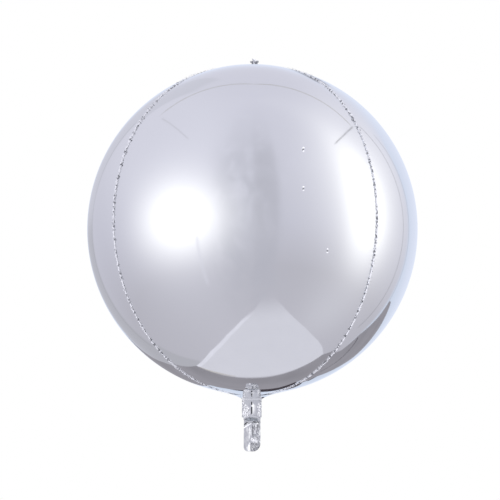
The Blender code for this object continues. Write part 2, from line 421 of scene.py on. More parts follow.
def buildGores():
    tree, sizes = startTree("filmGore", {**ballShape, **goreShape})
    outer = goreSkin(tree, sizes, sizes["Columns"], 0.0)
    inner = goreSkin(tree, sizes, sizes["Lining Columns"], sizes["Wall"])
    lining = addNode(tree, "GeometryNodeFlipFaces", {0: inner})
    closed = addNode(tree, "GeometryNodeMergeByDistance",
                     {"Geometry": join(tree, outer, lining), "Distance": 0.00001})
    heading = combine(tree, z=product(tree, sizes["Side"], quarterTurn))
    turned = addNode(tree, "GeometryNodeTransform", {"Geometry": closed, "Rotation": heading})
    rounded = addNode(tree, "GeometryNodeSetShadeSmooth", {"Geometry": turned})
    finishTree(tree, rounded, sizes["Film"])
    for number, side in enumerate(sideNames):
        values = {**ballShape, **goreShape, "Side": number}
        runTree(tree, "gore_" + side, values, "ball", "panel_" + side)
    print("gores built")


buildGores()

pinchShape = {
    "Size": 0.0014,
    "Gap": 0.0024,  # from knot to knot of a pinch
    "Lift": 0.0003,
    "Highlighted": -0.8,  # painted highlight on the outer knots, then painted shade on the middle one
    "Shaded": 0.6,
    "Smallest": 0.7,  # share of the size that a knot has
    "Largest": 1.1,
    "Film": tailFilm,
}
# latitude and longitude of each pinch, in degrees, longitude measured from the front
pinchSpots = ((17.9, 19.5), (5.6, 18.6), (-12.2, 26.6))


def buildPinches():
    # small knots where the film is caught, set on points that lie on the panel: painted highlight, painted
    # shade, painted highlight
    tree, sizes = startTree("filmPinches", pinchShape)
    reach = doMath(tree, "ADD", sizes["Lift"], ballRadius)
    lines = []
    for latitude, longitude in pinchSpots:
        spot = stretch(tree, toward(longitude, latitude), reach)
        lines.append(addNode(tree, "GeometryNodeMeshLine", {
            "Count": 3, "Start Location": spot, "Offset": combine(tree, z=sizes["Gap"])}))
    turn = doMath(tree, "MODULO", addNode(tree, "GeometryNodeInputIndex"), 3.0)
    middle = doMath(tree, "COMPARE", turn, 1.0, 0.1)
    shade = mapRange(tree, middle, 0.0, 1.0, sizes["Highlighted"], sizes["Shaded"])
    shaded = addNode(tree, "GeometryNodeStoreNamedAttribute",
                     {"Geometry": join(tree, *lines), "Name": "paintedShadeAndHighlight", "Value": shade}, data_type="FLOAT")
    knot = addNode(tree, "GeometryNodeMeshIcoSphere", {"Radius": sizes["Size"], "Subdivisions": 2})
    grow = randomValue(tree, sizes["Smallest"], sizes["Largest"], 2)
    knots = addNode(tree, "GeometryNodeInstanceOnPoints",
                    {"Points": shaded, "Instance": knot, "Scale": grow})
    finishTree(tree, knots, sizes["Film"])
    runTree(tree, "film_pinches", pinchShape, "ball", "panel_front")
    print("pinches built")


buildPinches()

seamShape = {
    "Sections": 560,
    "Lowest": radians(-86.2),
    "Highest": radians(88.6),
    "Fin Height": 0.0004,  # above the film
    "Fin Root": 0.0015,  # below it
    "Fin Thickness": 0.0007,
    "Fin Fade": radians(73),  # it thins out beyond this latitude, towards the neck and the crown
    "Ruffle": 0.0003,
    "Crumple": 0.0006,  # sharp sideways kinks of the free edge
    "Ruffle Foot": -0.0005,  # it starts this far below the film
    "Kinks Per Metre": 330.0,
    "Nicks Per Metre": 190.0,
    "Nick Depth": -0.3,  # share of the height
    "Fade Length": radians(11),
    "Faded Share": -0.6,
    "Pucker Pitch": 0.0078,
    "Flake Pitch": 0.0032,
    "Flake Width": 0.0009,  # half sizes of the crushed flakes that the weld is folded into
    "Flake Length": 0.0015,
    "Flake Height": 0.0005,
    "Flake Lift": 0.0008,
    "Number": 0,
    "Seed": 4,
    "Weld": weldFilm,
}
flakes = {
    "jitter": (0.0003, 0.0006, 0.0007),
    "leans": ((0.10, 0.42), (-0.30, -0.36), (0.28, 0.34), (-0.08, -0.46)),
    "twist": 0.5,
    "scale": (0.4, 1.15),
    # from one latitude to another, with the share of the size at each
    "swell": (radians(-80), radians(50), 0.6, 1.25),
    "taper": (radians(55), radians(78), 1.0, 0.5),
}


def meridian(tree, sizes, count):
    # a seam's line over the film, in the plane of +X, from the neck to the crown
    line = addNode(tree, "GeometryNodeMeshLine", {"Count": count})
    last = doMath(tree, "SUBTRACT", count, 1.0)
    portion = doMath(tree, "DIVIDE", addNode(tree, "GeometryNodeInputIndex"), last)
    latitude = mapRange(tree, portion, 0.0, 1.0, sizes["Lowest"], sizes["Highest"])
    radius = ballField(tree, sizes, latitude)
    x = product(tree, radius, doMath(tree, "COSINE", latitude))
    z = product(tree, radius, doMath(tree, "SINE", latitude))
    return addNode(tree, "GeometryNodeSetPosition", {"Geometry": line, "Position": combine(tree, x, 0.0, z)})


def finBand(tree, sizes):
    # the welded flange: a thin strip swept along the seam, ruffled more towards its free edge
    curve = addNode(tree, "GeometryNodeMeshToCurve", {0: meridian(tree, sizes, sizes["Sections"])})
    tall = doMath(tree, "ADD", sizes["Fin Height"], sizes["Fin Root"])
    outline = addNode(tree, "GeometryNodeCurvePrimitiveQuadrilateral",
                      {"Width": tall, "Height": sizes["Fin Thickness"]})
    strip = addNode(tree, "GeometryNodeCurveToMesh",
                    {"Curve": curve, "Profile Curve": outline, "Fill Caps": True})
    spot = split(tree, addNode(tree, "GeometryNodeInputPosition"))
    flat = combine(tree, spot["X"], 0.0, spot["Z"])
    reachOut = vectorMath(tree, "LENGTH", flat).outputs["Value"]
    lean = doMath(tree, "ARCTAN2", spot["Z"], spot["X"])
    film = ballField(tree, sizes, lean)
    above = doMath(tree, "SUBTRACT", reachOut, film)
    along = product(tree, lean, film)
    free = mapRange(tree, above, sizes["Ruffle Foot"], sizes["Fin Height"])
    swing = product(tree, puckerField(tree, sizes, along, sizes["Number"]), sizes["Ruffle"])
    kink = doMath(tree, "SUBTRACT", noiseAlong(tree, along, sizes["Kinks Per Metre"], 1.0), 0.5)
    bent = doMath(tree, "MULTIPLY_ADD", kink, sizes["Crumple"], swing)
    nicks = noiseAlong(tree, along, sizes["Nicks Per Metre"], 1.0)
    trim = mapRange(tree, nicks, 0.3, 0.7, 0.0, sizes["Nick Depth"])
    fadeEnd = doMath(tree, "ADD", sizes["Fin Fade"], sizes["Fade Length"])
    away = doMath(tree, "ABSOLUTE", lean)
    fade = mapRange(tree, away, sizes["Fin Fade"], fadeEnd, 0.0, sizes["Faded Share"])
    outward = product(tree, doMath(tree, "ADD", trim, fade), above, free)
    # the strip is swept centred on the film, so it moves out by half the difference of height and root
    uneven = doMath(tree, "SUBTRACT", sizes["Fin Height"], sizes["Fin Root"])
    lift = doMath(tree, "MULTIPLY_ADD", uneven, 0.5, outward)
    radial = vectorMath(tree, "NORMALIZE", flat)
    offset = vectorMath(tree, "ADD", stretch(tree, radial, lift), combine(tree, y=product(tree, bent, free)))
    return addNode(tree, "GeometryNodeSetPosition", {"Geometry": strip, "Offset": offset})


def flakeRow(tree, sizes):
    # the crushed weld: a row of flat flakes leaning to and fro, so that one glints and the next is grey
    length = product(tree, sizes["Radius"], pi)
    line = meridian(tree, sizes, doMath(tree, "DIVIDE", length, sizes["Flake Pitch"]))
    seed = doMath(tree, "MULTIPLY_ADD", sizes["Number"], 7.0, sizes["Seed"])
    most = flakes["jitter"]
    jitter = addNode(tree, "FunctionNodeRandomValue", {
        0: [-step for step in most], 1: most, "Seed": seed}, data_type="FLOAT_VECTOR")
    spot = split(tree, addNode(tree, "GeometryNodeInputPosition"))
    radial = vectorMath(tree, "NORMALIZE", combine(tree, spot["X"], 0.0, spot["Z"]))
    lift = stretch(tree, radial, sizes["Flake Lift"])
    shaken = addNode(tree, "GeometryNodeSetPosition",
                     {"Geometry": line, "Offset": vectorMath(tree, "ADD", jitter, lift)})
    lump = addNode(tree, "GeometryNodeMeshIcoSphere", {"Radius": 1.0, "Subdivisions": 1})
    half = combine(tree, sizes["Flake Height"], sizes["Flake Width"], sizes["Flake Length"])
    flake = addNode(tree, "GeometryNodeTransform", {"Geometry": lump, "Scale": half})
    kinds = []
    for lean in flakes["leans"]:
        leaning = addNode(tree, "GeometryNodeTransform", {"Geometry": flake, "Rotation": (0.0, *lean)})
        kinds.append(addNode(tree, "GeometryNodeGeometryToInstance", {0: leaning}))
    twist = randomValue(tree, -flakes["twist"], flakes["twist"], seed)
    slant = doMath(tree, "ARCTAN2", spot["Z"], spot["X"])
    aim = combine(tree, twist, product(tree, slant, -1.0))
    grow = randomValue(tree, *flakes["scale"], 9)
    shrink = mapRange(tree, slant, *flakes["swell"])
    taper = mapRange(tree, slant, *flakes["taper"])
    scale = product(tree, grow, product(tree, shrink, taper))
    row = addNode(tree, "GeometryNodeInstanceOnPoints", {
        "Points": shaken, "Instance": join(tree, *kinds), "Pick Instance": True,
        "Rotation": aim, "Scale": scale})
    return addNode(tree, "GeometryNodeRealizeInstances", {0: row})


def buildSeams():
    tree, sizes = startTree("crimpedSeam", {**ballShape, **seamShape})
    joined = join(tree, finBand(tree, sizes), flakeRow(tree, sizes))
    half = doMath(tree, "SUBTRACT", sizes["Number"], 0.5)
    heading = combine(tree, z=product(tree, half, quarterTurn))
    turned = addNode(tree, "GeometryNodeTransform", {"Geometry": joined, "Rotation": heading})
    # flat facets glint one by one, as a crushed weld does
    facets = addNode(tree, "GeometryNodeSetShadeSmooth", {"Geometry": turned, "Shade Smooth": False})
    finishTree(tree, facets, sizes["Weld"])
    for number, corner in enumerate(seamNames):
        values = {**ballShape, **seamShape, "Number": number}
        runTree(tree, "crimped_seam_" + corner, values, "ball", "seam_" + corner)
    print("seams built")


buildSeams()


# Sheets of slack film, made as closed grids

def addPiece(name, mesh, material, body, node):
    mesh.materials.append(material)
    dress(addObject(name, mesh), body, node)


def finishMesh(bm, name, sharpAngle):
    bmesh.ops.recalc_face_normals(bm, faces=bm.faces)
    mesh = bpy.data.meshes.new(name)
    bm.to_mesh(mesh)
    bm.free()
    mesh.shade_smooth()
    mesh.set_sharp_from_angle(angle=radians(sharpAngle))
    return mesh


def closedTube(name, steps, spokes, place, shade=0.0):
    # a tube through place(t, angle), with t from 0 to 1 along it, closed at both ends
    bm = bmesh.new()
    shadeLayer = bm.verts.layers.float.new("paintedShadeAndHighlight")
    rings = [[bm.verts.new(place(step / steps, tau * spoke / spokes)) for spoke in range(spokes)]
             for step in range(steps + 1)]
    for vert in bm.verts:
        vert[shadeLayer] = shade
    for a, b in zip(rings, rings[1:]):
        for i in range(spokes):
            j = (i + 1) % spokes
            bm.faces.new((a[i], a[j], b[j], b[i]))
    bm.faces.new(rings[0])
    bm.faces.new(rings[-1])
    return finishMesh(bm, name, 60)


def closedSheet(name, columns, rows, place, thickness, shade):
    # a film of real thickness whose middle surface is place(u, v), with u and v from 0 to 1
    bm = bmesh.new()
    shadeLayer = bm.verts.layers.float.new("paintedShadeAndHighlight")
    points = [[Vector(place(i / columns, j / rows)) for i in range(columns + 1)] for j in range(rows + 1)]
    skins = []
    for side in (-1, 1):
        skin = []
        for j in range(rows + 1):
            line = []
            for i in range(columns + 1):
                acrossStep = points[j][min(i + 1, columns)] - points[j][max(i - 1, 0)]
                downStep = points[min(j + 1, rows)][i] - points[max(j - 1, 0)][i]
                normal = acrossStep.cross(downStep)
                normal = normal.normalized() if normal.length > 1e-12 else Vector((0, 1, 0))
                vert = bm.verts.new(points[j][i] + side * normal * thickness / 2)
                vert[shadeLayer] = shade(i / columns, j / rows)
                line.append(vert)
            skin.append(line)
        skins.append(skin)
        for j in range(rows):
            for i in range(columns):
                bm.faces.new((skin[j][i], skin[j][i + 1], skin[j + 1][i + 1], skin[j + 1][i]))
    rims = ([(j, 0) for j in range(rows + 1)], [(j, columns) for j in range(rows + 1)],
            [(0, i) for i in range(columns + 1)], [(rows, i) for i in range(columns + 1)])
    low, high = skins
    for rim in rims:
        for (j, i), (row, column) in zip(rim, rim[1:]):
            bm.faces.new((low[j][i], low[row][column], high[row][column], high[j][i]))
    return finishMesh(bm, name, 55)


def triangleWave(t):
    return 2 * abs(2 * (t - floor(t + 0.5))) - 1


def foldSet(seed, count, shortest, longest, slope):
    # straight sharp folds in random directions, each as deep as its spacing allows
    rng = random.Random(seed)
    folds = []
    for number in range(count):
        spacing = shortest * (longest / shortest) ** (number / (count - 1))
        heading = rng.uniform(0, pi)
        across, down = cos(heading) / spacing, sin(heading) / spacing
        folds.append((across, down, rng.random(), slope * spacing / 4))
    return folds


def foldHeight(folds, x, z):
    return sum(depth * triangleWave(x * kx + z * kz + shift) for kx, kz, shift, depth in folds)


tail = {
    "neckHalf": 0.0170,
    "edgeWeld": 0.0030,
    "filmTop": hingeZ - 0.0008,
    "mouthTop": -0.3094,  # top of the arch over the valve's mouth
    "mouthArch": 0.0040,
    "hem": 0.0034,
    "film": 0.00025,
    "weldFilm": 0.0005,
    "frontTop": -0.3214,
    "frontSlant": -0.0052,  # the front sheet starts lower at its left edge
    "tip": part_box("tail_back_film")[0].z + 0.0010,
    "half": 0.0137,
    "lean": 0.0007,  # the tail hangs a little off the middle
    "cornerLeft": 0.0070,
    "cornerRight": 0.0125,
    "puff": 0.0015,
    "slit": 0.0011,
    "slitHalf": 0.0010,
    "slitSpans": ((-0.2926, -0.2876), (-0.3075, -0.2960)),
    "crease": 0.0009,  # radius of the fold at the hinge
    "creaseThinning": 0.45,  # share of it lost at the ends
    "creaseHighlight": -0.25,  # painted white highlight along the fold
    "neckOut": 0.0016,  # how far each film lies out from the tail's middle plane, and at least
    "neckLeast": 0.0007,
    "hemOut": 0.0017,
    "frontOut": 0.0021,
    "frontLeast": 0.0011,
    "backOut": 0.0015,
    "backLeast": 0.0007,
    "sleeveHalf": 0.0102,
    "sleeveSpan": (-0.3190, -0.2870),
    "sleeveFilm": 0.0002,
    "foldGap": 0.0003,  # a sheet may stand out this much at the hinge, and this share more for
    "foldSlope": 0.30,  # each metre below it, and still fold up under the ball's cone
}
neckFolds = foldSet(3, 5, 0.0034, 0.010, 0.55)
tailFolds = foldSet(8, 5, 0.0042, 0.015, 0.45)
backFolds = foldSet(21, 7, 0.0030, 0.018, 0.42)
# crumpled places of the neck's front film, smooth elsewhere: where each sets in and is full, first in x,
# then in z, and its share
neckCrumples = (
    (-0.0010, -0.0060, -0.2945, -0.2990, 1.0),
    (-0.0105, -0.0140, -0.2700, -0.2800, 1.0),
    (0.0090, 0.0130, -0.2870, -0.2910, 0.8),
)
# shapes of the front sheet, each with its middle (x, z), half sizes and height as far as it has them
front = {
    "ridge": (-0.0023, 0.0010, 0.0010),
    "valley": (0.0020, 0.0010, 0.0013),
    "puffedSpot": (0.0058, -0.3465, 0.0042, 0.0055, 0.0021),  # it catches the softboxes
    "rings": (0.0058, -0.3600, 0.0023, 0.00025),  # pressed rings, with their pitch
    "fold": (-0.0120, -0.3297, 0.617, 0.0011, 0.0012),  # from here up to the middle, with its slope
    "hollowStep": 0.0006,
    "hollowDepth": 0.0002,
}
# painted shade along its folds: where each runs (x, from z, to z), its half width and how dark it is
shadedFolds = (
    (0.0020, -0.3255, -0.3430, 0.0009, 0.95),
    (-0.0009, -0.3545, -0.3680, 0.0007, 0.80),
    (0.0046, -0.3235, -0.3330, 0.0008, 0.60),
    (0.0086, -0.3310, -0.3400, 0.0008, 0.60),
    (0.0104, -0.3240, -0.3300, 0.0020, 0.75),
    (-0.0122, -0.3275, -0.3300, 0.0009, 0.90),
)
# its painted white highlights: middle (x, z), half width, half height, share, and how ragged each is
highlightSpots = (
    (0.0055, -0.3500, 0.0064, 0.0042, 1.0, 1.0),
    (0.0055, -0.3360, 0.0011, 0.0036, 0.7, 1.0),
    (-0.0016, -0.3350, 0.0014, 0.0040, 0.5, 1.0),
    (-0.0047, -0.3620, 0.0017, 0.0064, 0.85, 0.1),
)


def grainAt(x, z, scale, layer):
    return noise.noise(Vector((x * scale, z * scale, layer)))


def mouthZ(x):
    # the arched lower edge of the neck's front film
    return tail["mouthTop"] - tail["mouthArch"] * (x / tail["half"]) ** 2


def neckSpot(u, v):
    half = tail["neckHalf"] - tail["edgeWeld"]
    x = mix(-half, half, u)
    return x, mix(mouthZ(x), tail["filmTop"], v)


def clearance(z):
    return tail["foldGap"] + tail["foldSlope"] * (hingeZ - z)


def neckCrumple(x, z):
    return max(share * smooth(fromX, toX, x) * smooth(fromZ, toZ, z)
               for fromX, toX, fromZ, toZ, share in neckCrumples)


def slitShare(x, z):
    # the gap between the channels, bridged once
    spans = [band(low, high, 0.0005, z) for low, high in tail["slitSpans"]]
    return exp(-((x / tail["slitHalf"]) ** 4)) * max(spans)


def neckPlace(u, v):
    # two puffed channels with a sharp slit between them
    x, z = neckSpot(u, v)
    side = abs(2 * u - 1)
    lobes = sin(pi * side) ** 0.8 if 0 < side < 1 else 0.0
    ends = sin(pi * v) ** 0.6 if 0 < v < 1 else 0.0
    crumple = foldHeight(neckFolds, x, z) * neckCrumple(x, z) * ends
    y = -tail["neckOut"] - tail["puff"] * lobes * ends - crumple + tail["slit"] * slitShare(x, z)
    return x, max(min(y, -tail["neckLeast"]), -clearance(z)), z


def neckShade(u, v):
    # painted shade in the slit, in dark specks along the sides and in the crumples, with painted white
    # highlights in the crumples
    x, z = neckSpot(u, v)
    speckle = smooth(0.1, 0.5, grainAt(x, z, 900, 3)) * smooth(0.0105, 0.0135, abs(x))
    grain = grainAt(x, z, 620, 11)
    crumple = neckCrumple(x, z)
    paintedHighlight = smooth(-0.05, 0.2, grain) * crumple
    dark = min(1.0, slitShare(x, z) * 1.1 + 0.7 * speckle + 0.6 * smooth(-0.2, -0.5, grain) * crumple + 0.1)
    return dark * (1 - paintedHighlight) - paintedHighlight


def hemPlace(u, v):
    x = mix(-tail["half"], tail["half"], u)
    z = mouthZ(x) - 0.0002 - tail["hem"] * (1 - v)
    return x, -tail["hemOut"] - 0.0003 * sin(pi * v), z


def hemShade(u, v):
    return 0.06 + 0.25 * smooth(0.1, 0.6, noise.noise(Vector((u * 14, 0.3, v))))


def tailEdge(z, corner):
    into = max(0.0, tail["tip"] + corner - z)
    return tail["half"] - corner + sqrt(max(0.0, corner ** 2 - into ** 2))


def tailSpot(u, v, top):
    z = mix(tail["tip"], top(u), v)
    return tail["lean"] + mix(-tailEdge(z, tail["cornerLeft"]), tailEdge(z, tail["cornerRight"]), u), z


def frontTop(u):
    return tail["frontTop"] + tail["frontSlant"] * max(0.0, 1 - 2 * u)


def backTop(u):
    return tail["filmTop"]


def ringWrinkle(x, z):
    # the pressed patch at the lower right
    cx, cz, pitch, height = front["rings"]
    patch = smooth(-0.0012, 0.0002, x) * smooth(-0.3535, -0.3550, z)
    return patch, sin(tau * hypot(x - cx, z - cz) / pitch)


def diagonalFold(x, z):
    # the fold below the mouth, from the left edge up to the middle
    cx, cz, slope, half, height = front["fold"]
    return gauss(z - cz - slope * (x - cx), 0, half) * smooth(0.001, -0.001, x)


def frontHighlight(x, z):
    # painted white highlights along the diagonal fold and at the listed spots
    shares = [0.85 * diagonalFold(x, z)]
    grain = smooth(-0.25, 0.2, grainAt(x, z, 600, 7))
    for cx, cz, wide, tall, share, ragged in highlightSpots:
        away = hypot((x - cx) / wide, (z - cz) / tall)
        shares.append(share * smooth(1.15, 0.6, away) * mix(1.0, grain, ragged))
    return max(shares)


def frontRelief(x, z):
    # nearly flat on the left, a ridge beside a deep fold near the middle, crumpled on the right
    patch, ring = ringWrinkle(x, z)
    right = smooth(-0.001, 0.003, x)
    height = foldHeight(tailFolds, x, z) * mix(0.10, mix(1.0, 0.45, patch), right)
    ridgeX, ridgeHalf, ridgeHeight = front["ridge"]
    ridgeBand = max(band(-0.3470, -0.3300, 0.002, z), smooth(-0.3530, -0.3560, z))
    height += ridgeHeight * gauss(x, ridgeX, ridgeHalf) * ridgeBand
    valleyX, valleyHalf, valleyDepth = front["valley"]
    height -= valleyDepth * gauss(x, valleyX, valleyHalf) * band(-0.3430, -0.3260, 0.0015, z)
    height += front["rings"][3] * ring * patch
    cx, cz, wide, tall, puff = front["puffedSpot"]
    height += puff * exp(-(((x - cx) / wide) ** 2) - ((z - cz) / tall) ** 2)
    height += front["fold"][4] * diagonalFold(x, z)
    return height


def frontPlace(u, v):
    x, z = tailSpot(u, v, frontTop)
    edge = sin(pi * u) ** 0.35 if 0 < u < 1 else 0.0
    return x, min(-tail["frontLeast"], -tail["frontOut"] - frontRelief(x, z) * edge), z


def frontShade(u, v):
    # painted shade in hollows, along folds and on the pressed patch, and painted white highlights
    x, z = tailSpot(u, v, frontTop)
    patch, ring = ringWrinkle(x, z)
    step = front["hollowStep"]
    sides = ((x + step, z), (x - step, z), (x, z + step), (x, z - step))
    around = sum(frontRelief(*spot) for spot in sides) / 4
    hollowShade = min(0.6, max(0.0, (around - frontRelief(x, z)) / front["hollowDepth"]))
    hollowShade *= smooth(-0.001, 0.003, x)
    folds = [dark * gauss(x, cx, half) * band(bottom, top, 0.0010, z)
             for cx, top, bottom, half, dark in shadedFolds]
    paintedHighlight = frontHighlight(x, z)
    dark = min(1.0, max(0.12, hollowShade, patch * (0.42 + 0.7 * grainAt(x, z, 480, 5) + 0.1 * ring), *folds))
    return dark * (1 - paintedHighlight) - paintedHighlight


def backPlace(u, v):
    x, z = tailSpot(u, v, backTop)
    wave = foldHeight(backFolds, x, z) * 0.8 * smooth(tail["filmTop"], tail["filmTop"] - 0.012, z)
    return x, min(max(tail["backLeast"], tail["backOut"] + wave), clearance(z)), z


def backShade(u, v):
    # painted shade: a little everywhere, more inside the mouth, between the hem and the front sheet
    x, z = tailSpot(u, v, backTop)
    return 0.10 + 0.16 * band(-0.3240, -0.3120, 0.001, z) * (0.8 + 0.9 * grainAt(x, z, 700, 0))


def sleevePlace(u, v):
    x = mix(-tail["sleeveHalf"], tail["sleeveHalf"], u)
    return x, -0.0003 - 0.0004 * sin(3 * pi * u), mix(*tail["sleeveSpan"], v)


def sidePlace(u, v, side):
    # the outer edge wanders and is crumpled like the channels beside it
    z = mix(mouthZ(tail["half"]), tail["filmTop"], v)
    outer = tail["neckHalf"] - 0.0008 - 0.0006 * noise.noise(Vector((side * 5, 0, z * 350)))
    x = side * mix(tail["neckHalf"] - tail["edgeWeld"] - 0.0002, outer, u)
    y = 0.0009 * noise.noise(Vector((x * 500, side * 9, z * 500))) * u - 0.0006
    return x, max(y, -clearance(z)), z


def sideShade(u, v):
    return smooth(0.0, 0.45, noise.noise(Vector((u * 2.0, 0.5, v * 26)))) * 0.8


def creasePlace(t, angle):
    # the rolled fold that the tail turns at, thinner towards its ends
    thick = tail["crease"] * (1 - tail["creaseThinning"] * abs(2 * t - 1) ** 6)
    x = mix(-tail["neckHalf"], tail["neckHalf"], t)
    return x, thick * cos(angle), hingeZ + thick * sin(angle)


def buildTail():
    crease = closedTube("crease_roll", 60, 16, creasePlace, tail["creaseHighlight"])
    addPiece("crease_roll", crease, tailFilm, "tail", "crease_weld")
    thin, thick = tail["film"], tail["weldFilm"]
    sheets = (
        ("neck_channels", 96, 90, neckPlace, thin, neckShade, tailFilm, "tail_foil", "neck_front_film"),
        ("mouth_hem_band", 60, 6, hemPlace, thick, hemShade, tailFilm, "seam_weld", "mouth_hem"),
        ("tail_front_sheet", 72, 120, frontPlace, thin, frontShade, tailFilm, "tail_foil", "tail_front_film"),
        ("tail_back_sheet", 60, 160, backPlace, thin, backShade, tailFilm, "tail_foil", "tail_back_film"),
        ("valve_film", 24, 30, sleevePlace, tail["sleeveFilm"], lambda u, v: 0.0, valveFilm,
         "valve_film", "valve_sleeve"),
        ("side_weld_left", 8, 80, lambda u, v: sidePlace(u, v, -1), thick, sideShade, tailFilm,
         "seam_weld", "edge_weld_left"),
        ("side_weld_right", 8, 80, lambda u, v: sidePlace(u, v, 1), thick, sideShade, tailFilm,
         "seam_weld", "edge_weld_right"),
    )
    for name, columns, rows, place, film, shade, material, slot, node in sheets:
        addPiece(name, closedSheet(name, columns, rows, place, film, shade), material, "tail", node)
    print("tail built")


buildTail()


# Neck funnel: the film turns from the ball into the flat neck

funnel = {
    "ring": 0.040,  # where it leaves the ball
    "spokes": 160,
    "steps": 30,
    "foot": hingeZ + 0.0011,
    "footHalf": 0.0015,
    "footInset": 0.0004,
    "cover": 0.00015,  # it lies this much outside the gores
}


def funnelPlace(t, angle):
    # straight on from the ball's cone, then steeper down to the flat oval foot
    latitude = -acos(funnel["ring"] / ballRadius)
    top = filmRadius(latitude) * sin(latitude)
    ringOut = filmRadius(latitude) * cos(latitude)
    footOut = tail["neckHalf"] - funnel["footInset"]
    start = Vector((ringOut * cos(angle), ringOut * sin(angle)))
    end = Vector((footOut * cos(angle), funnel["footHalf"] * sin(angle)))
    spot = start.lerp(end, t)
    straight = (start - end).length * tan(ballShape["Neck Cone"])
    level = top - funnel["cover"] * smooth(0, 0.1, t) - straight * t
    return spot.x, spot.y, level - (top - funnel["foot"] - straight) * t * t


def buildFunnel():
    mesh = closedTube("neck_funnel", funnel["steps"], funnel["spokes"], funnelPlace)
    addPiece("neck_funnel", mesh, mirrorFilm, "ball", "neck_hub")
    print("funnel built")


buildFunnel()


# Crown tuft: the four seam ends pinched together, their tips curled open

tuft = {
    "foot": ballRadius - ballShape["Crown Dip"] - 0.001,
    "top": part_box("crown_tuft")[1].z,
    "film": 0.0003,
    "pinch": 0.0022,
    "footSpread": 1.6,
    "core": 0.0005,
    "waist": 0.35,  # share of the height where the petals are tightest
    "reach": 0.0060,
    "tipShort": 0.002,
    "halfWidth": (0.0022, 0.0036),  # of a petal, at the foot and the top
    "wrap": 1.3,
    "droop": 0.0025,  # of a curled tip
    "folds": (4, 0.003, 0.009, 0.5),
    "lean": 0.0030,  # towards +X at the top
    "paintedPetalShade": (-0.50, 0.50, 0.80, 0.60, -0.10),  # painted shade, one for each petal, and a painted white highlight below 0
}


def petalPlace(number):
    rng = random.Random(number * 13 + 5)
    heading = tau * (number + 0.5) / len(tuft["paintedPetalShade"]) + rng.uniform(-0.25, 0.25)
    curl = rng.uniform(0.4, 1.0)
    tall = tuft["top"] - rng.uniform(0.0, 0.004)
    folds = foldSet(number + 40, *tuft["folds"])

    def place(u, v):
        z = mix(tuft["foot"], tall, v)
        out = tuft["pinch"] * (1 - smooth(0.0, tuft["waist"], v)) * tuft["footSpread"] + tuft["core"]
        out += (tuft["reach"] - tuft["tipShort"]) * smooth(tuft["waist"], 1.0, v) * curl
        half = mix(*tuft["halfWidth"], smooth(0.3, 0.9, v))
        sideways = mix(-half, half, u)
        bend = tuft["wrap"] * sideways / tuft["reach"]
        out += foldHeight(folds, sideways, z) * v
        angle = heading + bend * (0.4 + v)
        z -= tuft["droop"] * smooth(0.75, 1.0, v) * curl
        x = out * cos(angle) - sideways * sin(heading) + tuft["lean"] * smooth(0.0, 0.7, v)
        return x, out * sin(angle) + sideways * cos(heading), z
    return place


def buildTuft():
    bm = bmesh.new()
    for number, paintedPetalShade in enumerate(tuft["paintedPetalShade"]):
        mesh = closedSheet("petal", 12, 30, petalPlace(number), tuft["film"], lambda u, v: paintedPetalShade)
        bm.from_mesh(mesh)
        bpy.data.meshes.remove(mesh)
    mesh = bpy.data.meshes.new("tuft_petals")
    bm.to_mesh(mesh)
    bm.free()
    mesh.shade_smooth()
    addPiece("tuft_petals", mesh, tailFilm, "ball", "crown_tuft")
    print("tuft built")


buildTuft()


# Studio: a white light tent, painted by direction, as the balloon mirrors it

studio = {
    "turn": radians(3.65),
    "foilShare": 0.84,  # of the light that the film sends back
    "hang": (1.0, 1.0, 0.5),  # the cloth's folds are drawn out downwards
    "cloth": {"Scale": 4.6, "Detail": 3.0, "Roughness": 0.5, "Distortion": 0.5},
    "worn": (0.42, 0.64),
    # the bare tent, from straight down (0) to straight up (1)
    "tones": ((0.0, "#C0BFC8"), (0.34, "#B4B3BC"), (0.5, "#C0C0CC"), (0.7, "#CACAD6"), (1.0, "#D0D0DC")),
}
# each card: centre azimuth and elevation and the half sizes where it has faded, all in degrees, the share
# of them that is fully lit, how square its corners are (2 is an oval), then tone, glow, cover and cloth folds
cards = (
    ("leftWall", -86, 44, 72, 36, 0.5, 2.0, "#DADAE5", 1.0, 0.5, 0.0),
    ("rightWall", 105, 40, 55, 26, 0.4, 2.0, "#E5E5EE", 1.0, 0.45, 0.0),
    ("leftHalo", -46, 4, 50, 50, 0.0, 2.0, "#E8E8F3", 1.0, 0.55, 0.0),
    ("rightHalo", 84, 15, 37, 39, 0.0, 2.0, "#FDFDFF", 1.2, 0.62, 0.0),
    ("centreFolds", -5, 3, 22, 54, 0.35, 4.0, "#B1B2BC", 1.0, 0.56, 0.7),
    ("centreSlit", 9.0, 3, 9, 52, 0.6, 7.0, "#B6B6C0", 1.0, 0.68, 0.2),
    ("leftSoftbox", -48.0, 2.5, 28.5, 21.5, 0.0, 2.0, "#FFFFFF", 1.44, 0.88, 0.0),
    ("rightSoftbox", 82, 12.5, 17, 29, 0.25, 2.2, "#FFFFFF", 1.3, 0.85, 0.0),
    ("rightLow", 78, -47, 26, 17, 0.0, 2.0, "#D0D0D8", 1.0, 0.45, 0.0),
    ("backLeftPanel", -151, -25, 12, 33, 0.85, 8.0, "#A9AAB0", 1.0, 0.6, 0.0),
    ("backLeftUpper", -151, 32, 12, 26, 0.85, 8.0, "#C2C3CD", 1.0, 0.6, 0.0),
    ("backWindow", 164.5, -4, 33.5, 34, 0.93, 8.0, "#CBD5E6", 1.0, 0.9, 0.0),
    ("backSky", 164.5, 12, 32, 27.5, 0.6, 5.0, "#D6DCEC", 1.0, 0.85, 0.0),
)
